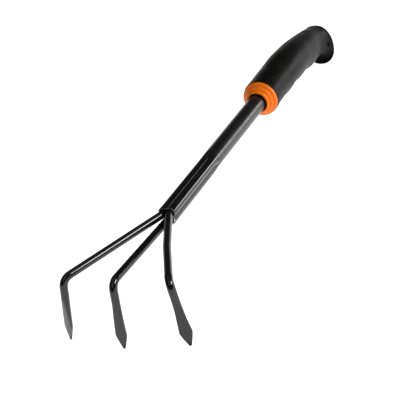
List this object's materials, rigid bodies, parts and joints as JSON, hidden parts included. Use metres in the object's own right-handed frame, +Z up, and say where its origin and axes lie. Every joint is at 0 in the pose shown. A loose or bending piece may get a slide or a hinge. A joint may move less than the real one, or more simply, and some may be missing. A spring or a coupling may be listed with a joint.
{
  "type": "hand cultivator",
  "caption": "Hand cultivator: steel tube swaged onto bent rods that end in spear-pointed tines, with a black moulded pistol grip and a stepped orange trim collar",
  "frame": {"origin": "centre of the bounding box's footprint, on the plane that the three tine points and the pommel's lower edge rest on", "axes": "+X runs from the tines to the butt of the grip, along the tool's length; +Y is across the tool, towards the left tine; +Z is up, out of the grip's back. The shaft is tipped 1.51 degrees, mouth end up, so that the tool rests on its tine points and pommel"},
  "size_m": [0.3614, 0.0874, 0.0456],
  "materials": {
    "black_steel": "gloss",
    "grip_plastic": "satin",
    "core_plastic": "satin",
    "orange_plastic": "satin"
  },
  "bodies": {
    "root": {"shaft_tube": "black_steel", "tine_left": "black_steel", "tine_right": "black_steel", "tine_center": "black_steel", "weld_left": "black_steel", "weld_right": "black_steel", "weld_center": "black_steel", "tube_plug": "core_plastic", "collar": "orange_plastic", "grip_core": "core_plastic", "grip_skin": "grip_plastic"}
  },
  "joints": []
}
